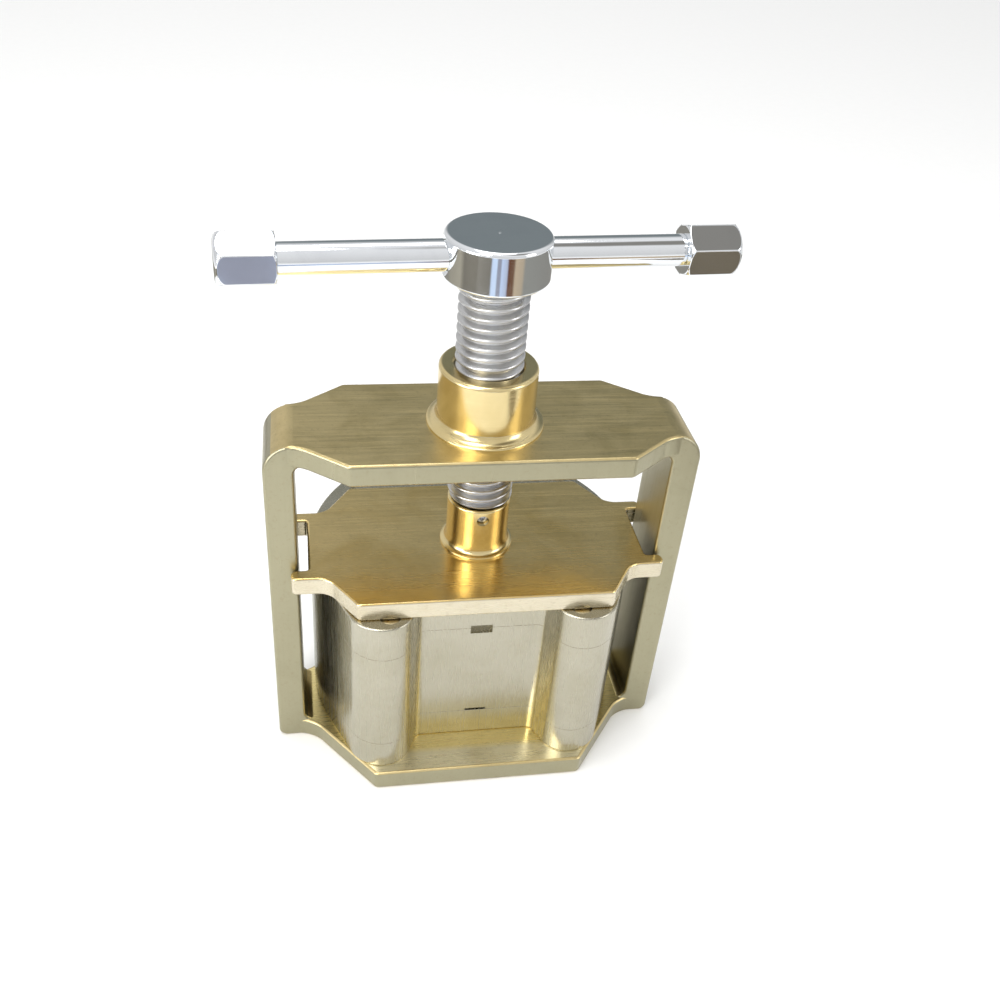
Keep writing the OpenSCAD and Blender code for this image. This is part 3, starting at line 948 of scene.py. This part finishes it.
def makeRing():
    size = sized(flaskSet)
    low, high = ringLow.z, ringHigh.z
    piece = flaskBlank("flaskRing", low, high)
    with editing(piece):
        bevelRim(low, size["jointEdge"], 2)
        bevelRim(high, size["jointEdge"], 2)
    piece.data.materials.append(flaskBrass)
    cut(piece, cavityBlock("cavity", low - 1 * mm, high + 1 * mm, 0))
    for side in (-1, 1):
        cutPinHole(piece, side, low, high)
    cut(piece, notchTool(low - 1 * mm, low + size["notchLow"]))
    cut(piece, notchTool(high - size["notchTop"], high + 1 * mm))
    return piece


def makePin(name, node):
    size = sized(flaskSet)
    low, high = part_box(node)
    radius = (high.x - low.x) / 2
    chamfer, lip = size["pinChamfer"], size["pinLip"]
    return turnOnLathe(name, [(radius - lip, low.z), (radius, low.z + lip), (radius, high.z - chamfer),
                              (radius - 0.25 * mm, high.z - chamfer * 0.4), (radius - chamfer, high.z)], 48)


def placePin(piece, node):
    low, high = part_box(node)
    onlyThis(piece)
    piece.location = ((low.x + high.x) / 2, (low.y + high.y) / 2, 0)
    bpy.ops.object.transform_apply(location=True, rotation=True, scale=True)
    finishPiece(piece, "flask", "pin_brass", node, pinBrassAndNotchLight)


flaskLower = makeCover("flaskLower", lowerLow.z, ringLow.z)
finishPiece(flaskLower, "flask", "flask_brass", "flask_lower", flaskBrass)
flaskRing = makeRing()
finishPiece(flaskRing, "flask", "flask_brass", "flask_ring", flaskBrass)
flaskUpper = makeCover("flaskUpper", upperHigh.z, ringHigh.z)
cut(flaskUpper, notchTool(ringHigh.z - 1 * mm, ringHigh.z + flaskSet["notchUpper"] * mm))
finishPiece(flaskUpper, "flask", "flask_brass", "flask_upper", flaskBrass)
guidePin = makePin("guidePinLeft", "flask_pin_left")
otherPin = twin(guidePin, "guidePinRight")
placePin(guidePin, "flask_pin_left")
placePin(otherPin, "flask_pin_right")
print("flask made")


# Studio: a pale floor, soft light, and a few tones that only the polished faces see

studioSet = {
    "floorSize": 8.0, "floorTone": (0.90, 0.90, 0.89),
    "skySide": (0.78, 0.78, 0.78), "skyTop": (0.95, 0.95, 0.96), "skyBack": (0.22, 0.25, 0.26),
    "backWay": (0.30, 0.90, 0.32), "backReach": (0.80, 0.96),
    "softboxes": (
        # place, aim, width, height, watts
        ((-0.50, -0.60, 0.70), (0, 0, 0.08), 0.35, 0.45, 3.0),
        ((0.75, -0.40, 0.45), (0, 0, 0.10), 0.30, 0.45, 1.5),
        ((-0.15, -0.05, 1.00), (0, 0, 0.05), 0.40, 0.30, 2.5),
        ((-0.55, -0.30, 0.22), (-0.03, 0, 0.04), 0.30, 0.30, 1.6),
        ((0.10, 1.00, 3.00), (0.10, 1.60, 0), 1.60, 1.00, 16.0),
    ),
    "ringInner": 0.33, "ringOuter": 0.55,
    # where each tone starts round the ring, from the left's back over the front, and the tone
    "ringTones": (
        (0.0, (0.24, 0.23, 0.21)), (0.17, (0.22, 0.21, 0.18)), (0.20, (0.27, 0.25, 0.20)),
        (0.28, (0.26, 0.24, 0.19)), (0.31, (0.12, 0.11, 0.09)), (0.39, (0.12, 0.11, 0.09)),
        (0.40, (0.15, 0.14, 0.12)), (0.47, (0.14, 0.13, 0.11)), (0.478, (0.42, 0.50, 0.64)),
        (0.503, (0.45, 0.54, 0.68)), (0.508, (0.23, 0.24, 0.29)), (0.526, (0.23, 0.24, 0.29)),
        (0.531, (0.42, 0.50, 0.66)), (0.562, (0.36, 0.40, 0.50)), (0.570, (0.11, 0.05, 0.03)),
        (0.60, (0.14, 0.08, 0.05)), (0.612, (0.42, 0.34, 0.24)), (0.655, (0.36, 0.30, 0.22)),
        (0.672, (0.22, 0.22, 0.20)), (1.0, (0.24, 0.23, 0.21)),
    ),
    "cardPlace": (0.185, -0.165, 0.002), "cardSize": 0.08, "cardTone": (0.13, 0.11, 0.08),
    "patchWay": (0.424, -0.192, 0.886), "patchReach": (0.95, 0.985), "patchTone": (0.28, 0.27, 0.25),
}


def aimAt(piece, target):
    piece.rotation_euler = (Vector(target) - piece.location).to_track_quat("-Z", "Y").to_euler()


def makeFloor():
    bpy.ops.object.select_all(action="DESELECT")
    bpy.ops.mesh.primitive_plane_add(size=studioSet["floorSize"], location=(0, 0, -0.05 * mm))
    floor = bpy.context.object
    floor.name = "floor"
    paper = newFinish("floorPaper")
    grain = addNoise(paper, (120, 120, 120), 3.0)
    tone = studioSet["floorTone"]
    colour = addBlend(paper, grain, 0, tone, tuple(0.97 * part for part in tone))
    shader = addNode(paper, "ShaderNodeBsdfPrincipled")
    shader.inputs["Roughness"].default_value = 0.9
    shader.inputs["Specular IOR Level"].default_value = 0.2
    wire(paper, colour, 2, shader, "Base Color")
    output = addNode(paper, "ShaderNodeOutputMaterial")
    wire(paper, shader, "BSDF", output, "Surface")
    floor.data.materials.append(paper)


def makeLights():
    for place, target, width, height, watts in studioSet["softboxes"]:
        bpy.ops.object.light_add(type="AREA", location=place)
        light = bpy.context.object
        light.data.shape = "RECTANGLE"
        light.data.size, light.data.size_y = width, height
        light.data.energy = watts
        aimAt(light, target)


def hideFromCamera(piece):
    piece.visible_camera = False
    piece.visible_diffuse = False
    piece.visible_shadow = False


def makeReflections():
    # a flat ring and a card on the floor, seen only in reflections, give the chrome its dark bands
    bpy.ops.object.select_all(action="DESELECT")
    bpy.ops.mesh.primitive_circle_add(vertices=96, radius=studioSet["ringOuter"], fill_type="NGON",
                                      location=(0, 0, 1 * mm))
    bpy.ops.object.transform_apply(location=True, rotation=True, scale=True)
    ring = bpy.context.object
    ring.name = "reflectedRing"
    with editing(ring):
        bpy.ops.mesh.select_all(action="SELECT")
        bpy.ops.mesh.inset(thickness=studioSet["ringOuter"] - studioSet["ringInner"])
        bpy.ops.mesh.delete(type="FACE")
    tones = newFinish("ringTones")
    coords = addNode(tones, "ShaderNodeTexCoord")
    mapping = addNode(tones, "ShaderNodeMapping")
    mapping.inputs["Rotation"].default_value = (0, 0, math.radians(90 - cameraSet["azimuth"]))
    wire(tones, coords, "Object", mapping, "Vector")
    sweep = addNode(tones, "ShaderNodeTexGradient", gradient_type="RADIAL")
    wire(tones, mapping, "Vector", sweep, "Vector")
    ramp = addNode(tones, "ShaderNodeValToRGB")
    while len(ramp.color_ramp.elements) > 1:
        ramp.color_ramp.elements.remove(ramp.color_ramp.elements[-1])
    for place, tone in studioSet["ringTones"]:
        stop = ramp.color_ramp.elements.new(place)
        stop.color = (*tone, 1)
    wire(tones, sweep, "Fac", ramp, "Fac")
    shader = addNode(tones, "ShaderNodeBsdfDiffuse")
    wire(tones, ramp, "Color", shader, "Color")
    output = addNode(tones, "ShaderNodeOutputMaterial")
    wire(tones, shader, "BSDF", output, "Surface")
    ring.data.materials.append(tones)
    hideFromCamera(ring)
    bpy.ops.object.select_all(action="DESELECT")
    bpy.ops.mesh.primitive_plane_add(size=studioSet["cardSize"], location=studioSet["cardPlace"])
    card = bpy.context.object
    card.name = "reflectedCard"
    dark = newFinish("cardTone")
    shader = addNode(dark, "ShaderNodeBsdfDiffuse")
    shader.inputs["Color"].default_value = (*studioSet["cardTone"], 1)
    output = addNode(dark, "ShaderNodeOutputMaterial")
    wire(dark, shader, "BSDF", output, "Surface")
    card.data.materials.append(dark)
    hideFromCamera(card)


def makeSky():
    sky = bpy.data.worlds.new("studioSky")
    scene.world = sky
    sky.use_nodes = True
    sky.node_tree.nodes.clear()
    coords = addNode(sky, "ShaderNodeTexCoord")
    split = addNode(sky, "ShaderNodeSeparateXYZ")
    wire(sky, coords, "Generated", split, "Vector")
    rise = addSpan(sky, split, "Z", 0.1, 0.95, 0.0, 1.0)
    colour = addBlend(sky, rise, 0, studioSet["skySide"], studioSet["skyTop"])
    facing = addNode(sky, "ShaderNodeVectorMath", operation="DOT_PRODUCT")
    facing.inputs[1].default_value = studioSet["backWay"]
    wire(sky, coords, "Generated", facing, 0)
    behind = addSpan(sky, facing, "Value", *studioSet["backReach"], 0.0, 1.0)
    colour = addBlend(sky, behind, 0, colour, studioSet["skyBack"])
    facing = addNode(sky, "ShaderNodeVectorMath", operation="DOT_PRODUCT")
    facing.inputs[1].default_value = studioSet["patchWay"]
    wire(sky, coords, "Generated", facing, 0)
    above = addSpan(sky, facing, "Value", *studioSet["patchReach"], 0.0, 1.0)
    colour = addBlend(sky, above, 0, colour, studioSet["patchTone"])
    background = addNode(sky, "ShaderNodeBackground")
    wire(sky, colour, 2, background, "Color")
    output = addNode(sky, "ShaderNodeOutputWorld")
    wire(sky, background, "Background", output, "Surface")


makeFloor()
makeLights()
makeReflections()
makeSky()
scene.view_settings.view_transform = "Standard"
print("studio lit")
